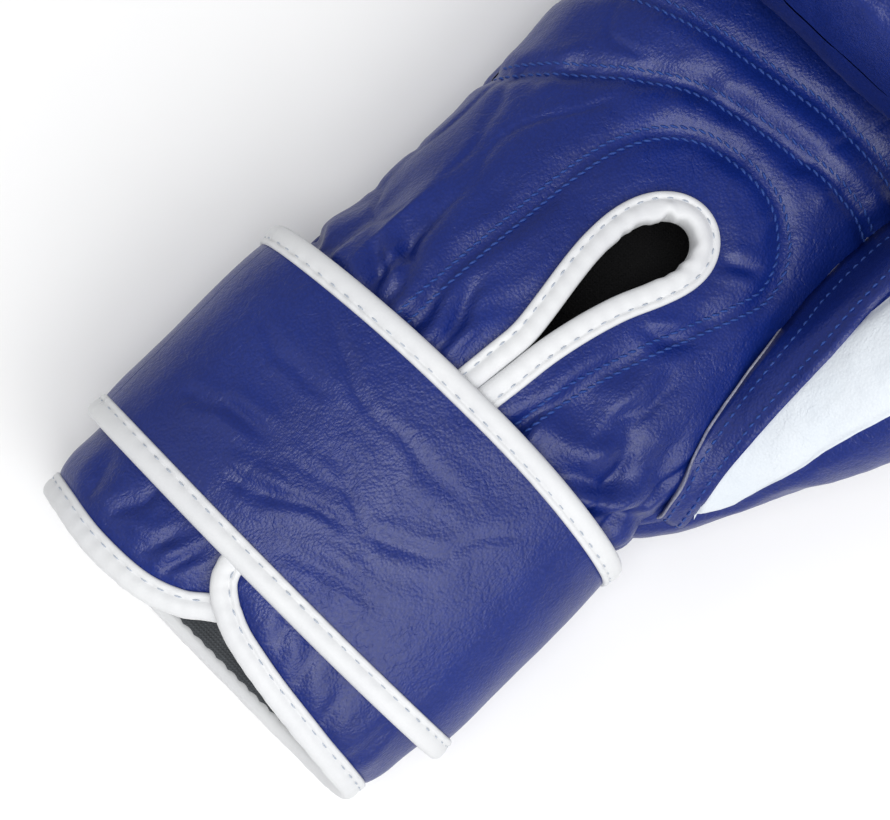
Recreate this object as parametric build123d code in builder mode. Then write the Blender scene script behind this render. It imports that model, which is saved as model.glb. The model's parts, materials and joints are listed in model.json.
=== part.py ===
"""Right-hand leather boxing glove, lying on its knuckle side with the palm up.

Row frame in millimetres: +Y runs from the cuff hem to the knuckles, +X points to the thumb,
+Z points up out of the palm. The glove rests on z = 0 and the origin is the middle of the
flat patch under the back of the hand.
"""

import os
from math import cos, pi, radians, sin

from build123d import *

# ---------------------------------------------------------------- driving dimensions
REST_Y = 208.0              # hem to the middle of the rest patch; model Y is measured from there

LEATHER = 1.2               # outer leather
LINING = 1.0                # fabric lining
OVAL_POWER = 2.4            # superellipse exponent of every cross-section
OVAL_POINTS = 20            # spline points around a cross-section

CUFF_LENGTH = 90.0          # hem to the wrist seam
CUFF_HALF_WIDTH = 55.5
CUFF_HALF_HEIGHT = 32.3
CUFF_WALL = 8.0             # leather + foam + lining
HEM_HALF_WIDTH = 51.5
HEM_HALF_HEIGHT = 30.5
WRIST_Z = 36.8              # height of the cuff's axis

STRAP_FROM = 25.0
STRAP_TO = 90.0
STRAP_GAP = 0.5             # clearance between the cuff and the strap
STRAP_COVER = 1.3
STRAP_PADDING = 1.4
STRAP_BACKING = 1.1
BINDING_WIDTH = 6.4         # folded white tape on every edge

TAB_END_ANGLE = -104.0      # where the strap's free end stops, under the cuff
TAB_EDGE_ANGLE = 5.0        # how far the binding reaches round the free end
HOOK_ANGLES = (-96.0, -52.0)
ANCHOR_END_ANGLE = 238.0    # where the strap is sewn down, under the little-finger side
HINGE_GAP_ANGLE = 0.25      # half the gap between two strap spans
LOOP_DEPTH = 0.8            # loop tape let into the back of the cuff
LOOP_ANGLES = (-119.0, -44.0)

CURL_Y = 236.0              # centre of the curl of the fist
CURL_Z = 62.0
CURL_RADIUS = 33.0
TIP_Y = 206.0
SIDE_SEAM_Z = 40.0          # height of the seam between palm and back leather
PALM_END_Y = 238.0          # where the palm leather goes in under the fingers
FINGER_SEAM_Z = 86.0        # seam round the underside of the finger block

VENT_CENTRE = (12.5, 153.0)  # round end of the palm slit
VENT_RADIUS = 8.0
SLIT_TIP = (8.0, 118.0)     # where the slit starts to open towards the vent
SLIT_HEM = (-3.0, -6.0)
SLIT_HALF_GAP = 0.7
NOTCH = [(-34.0, -0.6), (-14.0, 2.6), (-3.0, 11.0), (9.0, 6.5), (34.0, -0.6)]

GRIP_BAR_RADIUS = 4.2
GRIP_BAR_LENGTH = 54.0
GRIP_BAR_AT = (225.0, 50.2)

THUMB_POWER = 2.0
THUMB_DIRECTION = (0.16, 0.92, 0.36)  # the thumb's sections are square to this
SIDE = 90.0                 # wider than the glove on either side
TOP = 200.0                 # taller than the glove


# ---------------------------------------------------------------- section helpers
def oval(half_width, half_height, power=OVAL_POWER, count=OVAL_POINTS):
    """Points of a superellipse, counter-clockwise from +x."""
    points = []
    for step in range(count):
        angle = 2 * pi * step / count
        c, s = cos(angle), sin(angle)
        x = half_width * abs(c) ** (2 / power) * (1 if c >= 0 else -1)
        y = half_height * abs(s) ** (2 / power) * (1 if s >= 0 else -1)
        points.append((x, y))
    return points


class Station:
    """One oval cross-section of a soft tube, set square to the tube's own path."""

    def __init__(self, centre, direction, half_width, half_height):
        self.plane = Plane(
            origin=(centre[0], centre[1] - REST_Y, centre[2]), x_dir=(1, 0, 0), z_dir=direction
        )
        self.half_width = half_width
        self.half_height = half_height


def tube(stations, inset=0.0, power=OVAL_POWER, closed_tip=True, ruled=False):
    """Solid loft through the stations, each oval drawn in by the inset, and so is a closed tip."""
    with BuildPart() as body:
        for station in stations:
            at_tip = closed_tip and station is stations[-1]
            with BuildSketch(station.plane.offset(-inset if at_tip else 0.0)):
                with BuildLine():
                    outline = oval(station.half_width - inset, station.half_height - inset, power)
                    Spline(*outline, periodic=True)
                make_face()
        loft(ruled=ruled)
    return body.part


def slab(x_range, y_range, z_range):
    """Axis-aligned block between two corners, in hem-based Y."""
    with BuildPart() as block:
        with Locations((sum(x_range) / 2, sum(y_range) / 2 - REST_Y, sum(z_range) / 2)):
            Box(x_range[1] - x_range[0], y_range[1] - y_range[0], z_range[1] - z_range[0])
    return block.part


def above_floor(height):
    """Everything over a height, for cutting the flat patch that the glove rests on."""
    return slab((-TOP, TOP), (-TOP, 2 * TOP), (height, TOP))


def upright(sketch, z_from):
    """A palm outline drawn in XY, stood up as a cutter from a height to above the glove."""
    with BuildPart() as cutter:
        add(sketch.moved(Location((0, -REST_Y, z_from))))
        extrude(amount=TOP - z_from)
    return cutter.part


def save(part, name):
    """Labels a finished piece and writes its STEP file."""
    part.label = name
    export_step(part, f"parts/{name}.step")


# ---------------------------------------------------------------- paths of the soft tubes
def straight(x, y, z, half_width, half_height):
    """Station square to the glove's length."""
    return Station((x, y, z), (0, 1, 0), half_width, half_height)


def curled(angle_deg, half_width, half_height, radius=CURL_RADIUS):
    """Station on the curl of the fist; -90 is under the knuckles, +90 over the fingers."""
    a = radians(angle_deg)
    centre = (0, CURL_Y + radius * cos(a), CURL_Z + radius * sin(a))
    return Station(centre, (0, -sin(a), cos(a)), half_width, half_height)


def over(y, z, half_width, half_height):
    """Station on the finger block, which runs back towards the cuff."""
    return Station((0, y, z), (0, -1, 0), half_width, half_height)


# The mitt: wrist, heel of the hand, hollow of the palm, knuckles, curl and fingertips.
mitt_outer = [
    straight(0.5, CUFF_LENGTH, WRIST_Z, 55.0, 32.2),
    straight(3.6, 104, 36.6, 56.5, 33.0),
    straight(5.4, 125, 34.6, 56.0, 33.4),
    straight(4.4, 150, 32.0, 54.5, 32.6),
    straight(1.8, 185, 28.8, 53.5, 30.2),
    straight(0.0, 214, 28.3, 57.0, 29.8),
    curled(-90, 60.0, 29.4),
    curled(-45, 62.0, 29.6),
    curled(0, 62.5, 29.8),
    curled(45, 61.0, 29.4),
    curled(90, 57.5, 28.2),
    over(220, 94.0, 53.0, 26.4),
    over(211, 93.0, 47.0, 21.0),
    over(TIP_Y, 92.0, 36.0, 12.5),
]

# The space for the hand, with the lining's thickness included.
hand_outer = [
    straight(1.0, CUFF_LENGTH, WRIST_Z, 47.0, 24.2),
    straight(2.5, 104, 38.5, 45.0, 23.0),
    straight(4.0, 125, 39.0, 44.0, 21.0),
    straight(3.5, 150, 38.0, 43.0, 19.0),
    straight(1.5, 185, 34.5, 42.5, 16.5),
    straight(0.0, 214, 32.0, 43.0, 13.0),
    curled(-90, 43.0, 11.5, radius=26.0),
    curled(-45, 43.0, 11.0, radius=24.5),
    curled(0, 43.0, 11.0, radius=24.0),
    curled(45, 43.0, 11.0, radius=24.0),
    curled(90, 42.0, 11.0, radius=24.5),
    over(226, 86.5, 38.0, 9.0),
]

cuff_outer = [
    straight(0.0, 0, WRIST_Z - 0.8, HEM_HALF_WIDTH, HEM_HALF_HEIGHT),
    straight(0.0, 5, WRIST_Z - 0.5, HEM_HALF_WIDTH + 1.5, HEM_HALF_HEIGHT + 0.7),
    straight(0.0, 12, WRIST_Z - 0.2, HEM_HALF_WIDTH + 3.0, HEM_HALF_HEIGHT + 1.3),
    straight(0.0, STRAP_FROM - 2, WRIST_Z, CUFF_HALF_WIDTH, CUFF_HALF_HEIGHT),
    straight(0.0, CUFF_LENGTH, WRIST_Z, CUFF_HALF_WIDTH, CUFF_HALF_HEIGHT),
]


def thumb_station(x, y, z, radius):
    """The thumb leaves the side of the hand and runs forward beside the fist."""
    return Station((x, y, z), THUMB_DIRECTION, radius, radius)


thumb_outer = [
    thumb_station(40, 96, 36, 15.0),
    thumb_station(52, 118, 45, 21.0),
    thumb_station(63, 143, 54, 22.5),
    thumb_station(70, 168, 63, 23.0),
    thumb_station(74, 193, 71, 22.5),
    thumb_station(74, 214, 78, 20.5),
    thumb_station(72, 229, 83, 16.0),
    thumb_station(70.5, 237, 85.5, 9.0),
]
thumb_hollow_stations = [
    thumb_station(34, 104, 38.5, 11.0),
    thumb_station(46, 120, 44, 12.5),
    thumb_station(58, 140, 52, 13.0),
    thumb_station(68, 168, 62, 13.0),
    thumb_station(73, 193, 70, 12.5),
    thumb_station(73, 213, 77, 9.0),
]


# ---------------------------------------------------------------- palm slit outlines
with BuildSketch() as slit_opening:
    with Locations(VENT_CENTRE):
        Circle(VENT_RADIUS)
    with Locations(SLIT_TIP):
        Circle(SLIT_HALF_GAP)
    make_hull()
with BuildSketch() as slit_gap:
    with Locations(SLIT_TIP, SLIT_HEM):
        Circle(SLIT_HALF_GAP)
    make_hull()
with BuildSketch() as hem_notch:
    with BuildLine():
        curve = Spline(*NOTCH)
        Polyline(curve @ 1, (NOTCH[-1][0], -8), (NOTCH[0][0], -8), curve @ 0)
    make_face()
with BuildSketch() as opening_outline:
    add(slit_opening.sketch)
    add(slit_gap.sketch)
    add(hem_notch.sketch)

with BuildSketch() as slit_border:
    with Locations(VENT_CENTRE):
        Circle(VENT_RADIUS + BINDING_WIDTH)
    with Locations(SLIT_TIP):
        Circle(BINDING_WIDTH)
    make_hull()
with BuildSketch() as gap_border:
    with Locations(SLIT_TIP, SLIT_HEM):
        Circle(BINDING_WIDTH)
    make_hull()
with BuildSketch() as notch_border:
    with BuildLine():
        shifted = [(x, y + BINDING_WIDTH) for x, y in NOTCH]
        rim = Spline((-70, BINDING_WIDTH), *shifted, (70, BINDING_WIDTH))
        Polyline(rim @ 1, (70, -8), (-70, -8), rim @ 0)
    make_face()
with BuildSketch() as border_outline:
    add(slit_border.sketch)
    add(gap_border.sketch)
    add(notch_border.sketch)

opening = upright(opening_outline.sketch, WRIST_Z)
border = upright(border_outline.sketch, WRIST_Z)
hem_below = slab((-80, 80), (-8, BINDING_WIDTH), (0, WRIST_Z))


# ---------------------------------------------------------------- shared envelopes
mitt_skin_outside = tube(mitt_outer) & above_floor(0)
mitt_skin_inside = tube(mitt_outer, LEATHER) & above_floor(LEATHER)
hand_sock_outside = tube(hand_outer)
hand_sock_inside = tube(hand_outer, LINING)

thumb_skin_outside = tube(thumb_outer, power=THUMB_POWER)
thumb_skin_inside = tube(thumb_outer, LEATHER, power=THUMB_POWER)
thumb_sock_outside = tube(thumb_hollow_stations, power=THUMB_POWER)
thumb_sock_inside = tube(thumb_hollow_stations, LINING, power=THUMB_POWER)

with BuildPart() as palm_region:
    add(slab((-SIDE, SIDE), (0, PALM_END_Y), (SIDE_SEAM_Z, CURL_Z)))
    add(slab((-SIDE, SIDE), (0, TIP_Y - 10), (CURL_Z, TOP)))
palm_side = palm_region.part
finger_side = slab((-SIDE, SIDE), (TIP_Y - 10, PALM_END_Y), (CURL_Z, FINGER_SEAM_Z))
finger_back_side = slab((-SIDE, SIDE), (TIP_Y - 10, PALM_END_Y), (FINGER_SEAM_Z, TOP))
back_side = slab((-SIDE, SIDE), (0, PALM_END_Y), (-10, SIDE_SEAM_Z))


# ---------------------------------------------------------------- mitt leather
def mitt_leather(region=None, without=()):
    """Outer leather of the mitt, limited to one panel's region."""
    with BuildPart() as panel:
        add(mitt_skin_outside)
        add(mitt_skin_inside, mode=Mode.SUBTRACT)
        add(thumb_sock_outside, mode=Mode.SUBTRACT)
        if region is not None:
            add(region, mode=Mode.INTERSECT)
        for cutter in without:
            add(cutter, mode=Mode.SUBTRACT)
    return panel


palm_leather = mitt_leather(palm_side, [border])
finger_leather = mitt_leather(finger_side)
back_leather = mitt_leather(back_side)
knuckle_leather = mitt_leather(without=[palm_side, finger_side, back_side])


# ---------------------------------------------------------------- mitt padding and lining
def grip_bar_shape(radius, length):
    with BuildPart() as bar:
        plane = Plane(origin=(0, GRIP_BAR_AT[0] - REST_Y, GRIP_BAR_AT[1]), z_dir=(1, 0, 0))
        with BuildSketch(plane):
            Circle(radius)
        extrude(amount=length / 2, both=True)
    return bar


grip_bar = grip_bar_shape(GRIP_BAR_RADIUS, GRIP_BAR_LENGTH)
grip_channel = grip_bar_shape(GRIP_BAR_RADIUS + 0.02, GRIP_BAR_LENGTH + 0.1)


def mitt_padding(region=None, without=()):
    """Foam between the leather and the lining, limited to one pad's region."""
    with BuildPart() as pad:
        add(mitt_skin_inside)
        add(hand_sock_outside, mode=Mode.SUBTRACT)
        add(thumb_sock_outside, mode=Mode.SUBTRACT)
        add(grip_channel.part, mode=Mode.SUBTRACT)
        if region is not None:
            add(region, mode=Mode.INTERSECT)
        for cutter in without:
            add(cutter, mode=Mode.SUBTRACT)
    return pad


palm_foam = mitt_padding(palm_side, [border])
finger_foam = mitt_padding(finger_side)
finger_back_foam = mitt_padding(finger_back_side)
back_foam = mitt_padding(back_side)
knuckle_foam = mitt_padding(without=[palm_side, finger_side, finger_back_side, back_side])

with BuildPart() as hand_lining:
    add(hand_sock_outside)
    add(hand_sock_inside, mode=Mode.SUBTRACT)
    add(thumb_sock_outside, mode=Mode.SUBTRACT)
    add(grip_channel.part, mode=Mode.SUBTRACT)
    add(border, mode=Mode.SUBTRACT)


# ---------------------------------------------------------------- thumb
def thumb_layer(outside, inside):
    """One layer of the thumb, cut back to where it meets the side of the mitt."""
    with BuildPart() as layer:
        add(outside)
        add(mitt_skin_outside, mode=Mode.SUBTRACT)
        add(inside, mode=Mode.SUBTRACT)
    return layer


thumb_split = Plane(
    origin=(72, 180 - REST_Y, 74), x_dir=THUMB_DIRECTION, z_dir=(-0.55, -0.23, 0.83)
)


def thumb_panel(keep):
    with BuildPart() as panel:
        add(thumb_layer(thumb_skin_outside, thumb_skin_inside).part)
        split(bisect_by=thumb_split, keep=keep)
    return panel


thumb_palm_leather = thumb_panel(Keep.TOP)
thumb_outer_leather = thumb_panel(Keep.BOTTOM)
thumb_foam = thumb_layer(thumb_skin_inside, thumb_sock_outside)
with BuildPart() as thumb_lining:
    add(thumb_sock_outside)
    add(hand_sock_outside, mode=Mode.SUBTRACT)
    add(thumb_sock_inside, mode=Mode.SUBTRACT)


# ---------------------------------------------------------------- bands round the cuff
class Span:
    """A stretch of a band between two angles around the cuff."""

    def __init__(self, start_deg, end_deg):
        self.start_deg, self.end_deg = start_deg, end_deg

    def wedge(self, reach=200.0):
        """Plan of the span as a fan of rays from the cuff's axis."""
        steps = 24
        fan = [(0.0, 0.0)]
        for step in range(steps + 1):
            angle = radians(self.start_deg + (self.end_deg - self.start_deg) * step / steps)
            fan.append((reach * cos(angle), reach * sin(angle)))
        return fan


def band(span, inner, outer, y_from, y_to):
    """A layer of a band: the cuff's oval grown by inner and outer, over one span."""
    plane = Plane(origin=(0, y_from - REST_Y, WRIST_Z), x_dir=(1, 0, 0), z_dir=(0, -1, 0))
    with BuildPart() as ring:
        with BuildSketch(plane) as profile:
            with BuildLine():
                Spline(*oval(CUFF_HALF_WIDTH + outer, CUFF_HALF_HEIGHT + outer), periodic=True)
            make_face()
            with BuildLine():
                Spline(*oval(CUFF_HALF_WIDTH + inner, CUFF_HALF_HEIGHT + inner), periodic=True)
            make_face(mode=Mode.SUBTRACT)
            with BuildLine():
                Polyline(*span.wedge(), close=True)
            make_face(mode=Mode.INTERSECT)
        extrude(amount=-(y_to - y_from))
    return ring


# ---------------------------------------------------------------- cuff
cuff_skins = [
    tube(cuff_outer, inset, closed_tip=False, ruled=True)
    for inset in (0.0, LEATHER, CUFF_WALL - LINING, CUFF_WALL)
]


def cuff_layer(outside, inside, without):
    """One layer of the cuff wall between two of the cuff's envelopes."""
    with BuildPart() as layer:
        add(outside)
        add(inside, mode=Mode.SUBTRACT)
        for cutter in without:
            add(cutter, mode=Mode.SUBTRACT)
    return layer


inner_edge = STRAP_FROM + BINDING_WIDTH
outer_edge = STRAP_TO - BINDING_WIDTH
loop_span = Span(*LOOP_ANGLES)
loop_panel = band(loop_span, -LOOP_DEPTH, 0.0, inner_edge, outer_edge)
loop_recess = band(loop_span, -LOOP_DEPTH, 1.0, inner_edge, outer_edge)

cuff_leather = cuff_layer(cuff_skins[0], cuff_skins[1], [border, hem_below, loop_recess.part])
cuff_foam = cuff_layer(cuff_skins[1], cuff_skins[2], [border, hem_below])
cuff_lining = cuff_layer(cuff_skins[2], cuff_skins[3], [border, hem_below])

with BuildPart() as hem_binding:
    add(cuff_skins[0])
    add(cuff_skins[3], mode=Mode.SUBTRACT)
    add(hem_below, mode=Mode.INTERSECT)

cuff_slit_reach = slab((-SIDE, SIDE), (-10, CUFF_LENGTH), (WRIST_Z, TOP))
with BuildPart() as cuff_slit_binding:
    add(cuff_skins[0])
    add(cuff_skins[3], mode=Mode.SUBTRACT)
    add(border, mode=Mode.INTERSECT)
    add(opening, mode=Mode.SUBTRACT)
    add(cuff_slit_reach, mode=Mode.INTERSECT)
with BuildPart() as vent_binding:
    add(mitt_skin_outside)
    add(hand_sock_inside, mode=Mode.SUBTRACT)
    add(border, mode=Mode.INTERSECT)
    add(opening, mode=Mode.SUBTRACT)


# ---------------------------------------------------------------- strap
palm_span = Span(HINGE_GAP_ANGLE, 180 - HINGE_GAP_ANGLE)
anchor_span = Span(180 + HINGE_GAP_ANGLE, ANCHOR_END_ANGLE)
tab_body_span = Span(TAB_END_ANGLE + TAB_EDGE_ANGLE, -HINGE_GAP_ANGLE)
tab_edge_span = Span(TAB_END_ANGLE, TAB_END_ANGLE + TAB_EDGE_ANGLE)
hook_span = Span(*HOOK_ANGLES)

layer_in = STRAP_GAP
layer_backing = layer_in + STRAP_BACKING
layer_padding = layer_backing + STRAP_PADDING
layer_cover = layer_padding + STRAP_COVER

strap_cover = band(palm_span, layer_padding, layer_cover, inner_edge, outer_edge)
strap_padding = band(palm_span, layer_backing, layer_padding, inner_edge, outer_edge)
strap_backing = band(palm_span, layer_in, layer_backing, inner_edge, outer_edge)
strap_hem_binding = band(palm_span, layer_in, layer_cover, STRAP_FROM, inner_edge)
strap_wrist_binding = band(palm_span, layer_in, layer_cover, outer_edge, STRAP_TO)

tab_cover = band(tab_body_span, layer_padding, layer_cover, inner_edge, outer_edge)
tab_padding = band(tab_body_span, layer_backing, layer_padding, inner_edge, outer_edge)
tab_hem_binding = band(tab_body_span, layer_in, layer_cover, STRAP_FROM, inner_edge)
tab_wrist_binding = band(tab_body_span, layer_in, layer_cover, outer_edge, STRAP_TO)
tab_end_binding = band(tab_edge_span, layer_in, layer_cover, STRAP_FROM, STRAP_TO)
hook_panel = band(hook_span, layer_in, layer_backing, inner_edge, outer_edge)

anchor_cover = band(anchor_span, layer_padding, layer_cover, inner_edge, outer_edge)
anchor_backing = band(anchor_span, layer_in, layer_padding, inner_edge, outer_edge)
anchor_hem_binding = band(anchor_span, layer_in, layer_cover, STRAP_FROM, inner_edge)
anchor_wrist_binding = band(anchor_span, layer_in, layer_cover, outer_edge, STRAP_TO)

# ---------------------------------------------------------------- write the parts
pieces = {
    "palm_leather": palm_leather,
    "finger_leather": finger_leather,
    "back_leather": back_leather,
    "knuckle_leather": knuckle_leather,
    "palm_foam": palm_foam,
    "finger_foam": finger_foam,
    "finger_back_foam": finger_back_foam,
    "back_foam": back_foam,
    "knuckle_foam": knuckle_foam,
    "hand_lining": hand_lining,
    "grip_bar": grip_bar,
    "thumb_palm_leather": thumb_palm_leather,
    "thumb_outer_leather": thumb_outer_leather,
    "thumb_foam": thumb_foam,
    "thumb_lining": thumb_lining,
    "cuff_leather": cuff_leather,
    "cuff_foam": cuff_foam,
    "cuff_lining": cuff_lining,
    "hem_binding": hem_binding,
    "cuff_slit_binding": cuff_slit_binding,
    "vent_binding": vent_binding,
    "strap_cover": strap_cover,
    "strap_padding": strap_padding,
    "strap_backing": strap_backing,
    "strap_hem_binding": strap_hem_binding,
    "strap_wrist_binding": strap_wrist_binding,
    "tab_cover": tab_cover,
    "tab_padding": tab_padding,
    "tab_hem_binding": tab_hem_binding,
    "tab_wrist_binding": tab_wrist_binding,
    "tab_end_binding": tab_end_binding,
    "hook_panel": hook_panel,
    "loop_panel": loop_panel,
    "anchor_cover": anchor_cover,
    "anchor_backing": anchor_backing,
    "anchor_hem_binding": anchor_hem_binding,
    "anchor_wrist_binding": anchor_wrist_binding,
}

os.makedirs("parts", exist_ok=True)
for name, piece in pieces.items():
    save(piece.part, name)
    print(name, len(piece.part.solids()), round(piece.part.volume), piece.part.is_valid)
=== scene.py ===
import json
from math import cos, pi, radians, sin

import bmesh
import bpy
import numpy as np
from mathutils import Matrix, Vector
from mathutils.bvhtree import BVHTree


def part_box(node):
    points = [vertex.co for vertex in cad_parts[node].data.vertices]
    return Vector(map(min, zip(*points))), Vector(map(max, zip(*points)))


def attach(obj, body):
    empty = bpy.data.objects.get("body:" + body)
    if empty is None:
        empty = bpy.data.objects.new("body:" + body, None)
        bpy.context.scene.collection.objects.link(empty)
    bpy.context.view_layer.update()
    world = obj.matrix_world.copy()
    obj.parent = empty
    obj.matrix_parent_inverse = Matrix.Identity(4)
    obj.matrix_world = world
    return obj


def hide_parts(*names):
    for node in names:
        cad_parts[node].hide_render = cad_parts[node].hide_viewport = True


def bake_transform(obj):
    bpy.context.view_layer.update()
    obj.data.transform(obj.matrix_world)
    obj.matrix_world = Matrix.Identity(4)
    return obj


# A right-hand boxing glove, palm up. Lengths are in millimetres, in the row frame, until a mesh is
# made; "hem" lengths run from the cuff's edge, so row Y is the hem length less REST_Y.
MM = 0.001
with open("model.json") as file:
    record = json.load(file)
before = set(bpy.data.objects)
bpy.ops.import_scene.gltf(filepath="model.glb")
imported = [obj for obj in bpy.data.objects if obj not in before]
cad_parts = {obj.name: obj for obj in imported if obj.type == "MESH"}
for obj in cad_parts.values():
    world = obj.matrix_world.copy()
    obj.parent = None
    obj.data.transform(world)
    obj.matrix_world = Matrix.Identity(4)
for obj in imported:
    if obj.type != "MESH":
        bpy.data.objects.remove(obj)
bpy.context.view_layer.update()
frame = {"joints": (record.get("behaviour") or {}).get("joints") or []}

# ---------------------------------------- sizes read from the frame
REST_Y = -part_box("hem_binding")[0].y / MM
STRAP_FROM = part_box("strap_hem_binding")[0].y / MM + REST_Y
STRAP_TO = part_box("strap_wrist_binding")[1].y / MM + REST_Y
STRAP_HALF_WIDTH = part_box("strap_hem_binding")[1].x / MM
WRIST_Z = frame["joints"][0]["pos_m"][2] / MM
STRAP_HALF_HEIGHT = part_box("strap_hem_binding")[1].z / MM - WRIST_Z

# ---------------------------------------- driving dimensions
OVAL_POWER = 2.4            # superellipse exponent of the cuff and mitt
STRAP_THICK = 4.0
WALL = 8.0                  # cuff wall with its padding
SEAM_ANGLE = 4.0            # degrees that the side seams run above the widest line


# ---------------------------------------- numeric helpers
def lattice_noise(points, size, seed):
    """Smooth random field in -1..1 whose lumps are about size mm across."""
    scaled = np.asarray(points, float) / size + 1000.0
    cell = np.floor(scaled).astype(np.int64)
    part = scaled - cell
    part = part * part * (3 - 2 * part)
    total = np.zeros(len(scaled))
    for corner in np.ndindex(2, 2, 2):
        at = cell + np.array(corner)
        mixed = at[:, 0] * 73856093 ^ at[:, 1] * 19349663 ^ at[:, 2] * 83492791 ^ (seed * 7919 + 17)
        mixed = (mixed * 1103515245 + 12345) & 0x7FFFFFFF
        mixed = ((mixed >> 7) * 69069 + 1) & 0x7FFFFFFF
        weight = np.prod(np.where(np.array(corner) == 1, part, 1 - part), axis=1)
        total += weight * (mixed / 0x3FFFFFFF - 1)
    return total


def walked_length(points):
    """Length walked along a line of points, at each of them."""
    return np.r_[0, np.cumsum(np.linalg.norm(np.diff(points, axis=0), axis=1))]


def smooth_curve(points, count):
    """Catmull-Rom curve through given points, at count even steps of length."""
    p = np.asarray(points, float)
    p = np.vstack([2 * p[0] - p[1], p, 2 * p[-1] - p[-2]])
    dense = []
    for a, b, c, d in zip(p[:-3], p[1:-2], p[2:-1], p[3:]):
        for u in np.linspace(0, 1, 24, endpoint=False):
            dense.append(0.5 * (2 * b + (c - a) * u + (2 * a - 5 * b + 4 * c - d) * u ** 2
                                + (3 * b - a - 3 * c + d) * u ** 3))
    dense.append(p[-2])
    dense = np.array(dense)
    walked = walked_length(dense)
    wanted = np.linspace(0, walked[-1], count)
    return np.stack([np.interp(wanted, walked, dense[:, k]) for k in range(p.shape[1])], 1)


def unit(vectors):
    """Vectors scaled to length 1."""
    return vectors / np.maximum(np.linalg.norm(vectors, axis=-1, keepdims=True), 1e-9)


def bump(distance, width):
    """A smooth hump of height 1 at distance 0."""
    return np.exp(-(distance / width) ** 2)


def ramp(value, low, high):
    """Smooth step from 0 at low to 1 at high."""
    t = np.clip((value - low) / (high - low), 0, 1)
    return t * t * (3 - 2 * t)


def distance_to(points_xy, line):
    """Plan distance from each point to a line of closely spaced points."""
    best = np.full(len(points_xy), 1e9)
    for start in range(0, len(line), 40):
        block = line[start:start + 40, :2]
        gap = np.linalg.norm(points_xy[:, None, :] - block[None], axis=2).min(1)
        best = np.minimum(best, gap)
    return best


def grid_normals(grid, wrap_columns=False):
    """Unit normals of a grid of points, rows crossed with columns."""
    if wrap_columns:
        across = np.roll(grid, -1, 1) - np.roll(grid, 1, 1)
    else:
        across = np.gradient(grid, axis=1)
    return unit(np.cross(np.gradient(grid, axis=0), across))


# ---------------------------------------- mesh helpers
def to_row(points):
    """Hem-based millimetres to row-frame metres."""
    return (np.asarray(points, float) - (0, REST_Y, 0)) * MM


def link_object(name, data):
    """A new object in the scene that shows the given mesh, lamp or camera."""
    item = bpy.data.objects.new(name, data)
    bpy.context.scene.collection.objects.link(item)
    return item


def new_mesh(name, points, faces, material, smooth=True, above=0.0):
    """A mesh object from hem millimetres, with nothing of it under the given height."""
    points = np.array(points, float)
    points[:, 2] = np.maximum(points[:, 2], above)
    mesh = bpy.data.meshes.new(name)
    mesh.from_pydata([tuple(p) for p in to_row(points)], [], [tuple(int(i) for i in f) for f in faces])
    mesh.update()
    if smooth:
        mesh.shade_smooth()
    mesh.materials.append(material)
    return link_object(name, mesh)


def grid_faces(rows, columns, wrap_columns=False, flip=False, keep=None):
    """Four-cornered faces between neighbouring points of a grid, where keep allows them."""
    faces = []
    for i in range(rows - 1):
        for j in range(columns if wrap_columns else columns - 1):
            a, b = i * columns + j, i * columns + (j + 1) % columns
            if keep is None or keep[i, j]:
                face = (a, b, b + columns, a + columns)
                faces.append(face[::-1] if flip else face)
    return faces


def grid_piece(name, grid, material, flip=False, keep=None, wrap_columns=False, above=0.0):
    """A sheet through a grid of points, without the points that no face uses."""
    rows, columns = grid.shape[:2]
    faces = grid_faces(rows, columns, wrap_columns=wrap_columns, flip=flip, keep=keep)
    piece = new_mesh(name, grid.reshape(-1, 3), faces, material, above=above)
    work = bmesh.new()
    work.from_mesh(piece.data)
    loose = [v for v in work.verts if not v.link_faces]
    bmesh.ops.delete(work, geom=loose, context="VERTS")
    work.to_mesh(piece.data)
    work.free()
    return piece


def tube_piece(name, grid, material, capped=True, flip=False, smooth=True, above=0.0):
    """A closed tube through a grid of points whose columns meet, with a flat cap on each end."""
    rows, columns = grid.shape[:2]
    faces = grid_faces(rows, columns, wrap_columns=True, flip=flip)
    if capped:
        faces.append(tuple(range(columns)))
        faces.append(tuple(range(rows * columns - 1, (rows - 1) * columns - 1, -1)))
    return new_mesh(name, grid.reshape(-1, 3), faces, material, smooth=smooth, above=above)


def profile_rows(profile, rows):
    """The outward and the up distances of a profile's points, repeated for each row."""
    return [np.tile(distances, (rows, 1)) for distances in np.array(profile).T]


def profile_grid(path, outward, normals, out, up):
    """A profile's distances carried along a path, as a grid of points."""
    return path[:, None] + out[:, :, None] * outward[:, None] + up[:, :, None] * normals[:, None]


def sweep(name, path, outward, normals, profile, material):
    """A closed profile of (outward, up) points carried along a path."""
    grid = profile_grid(path, outward, normals, *profile_rows(profile, len(path)))
    return tube_piece(name, grid, material)


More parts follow.
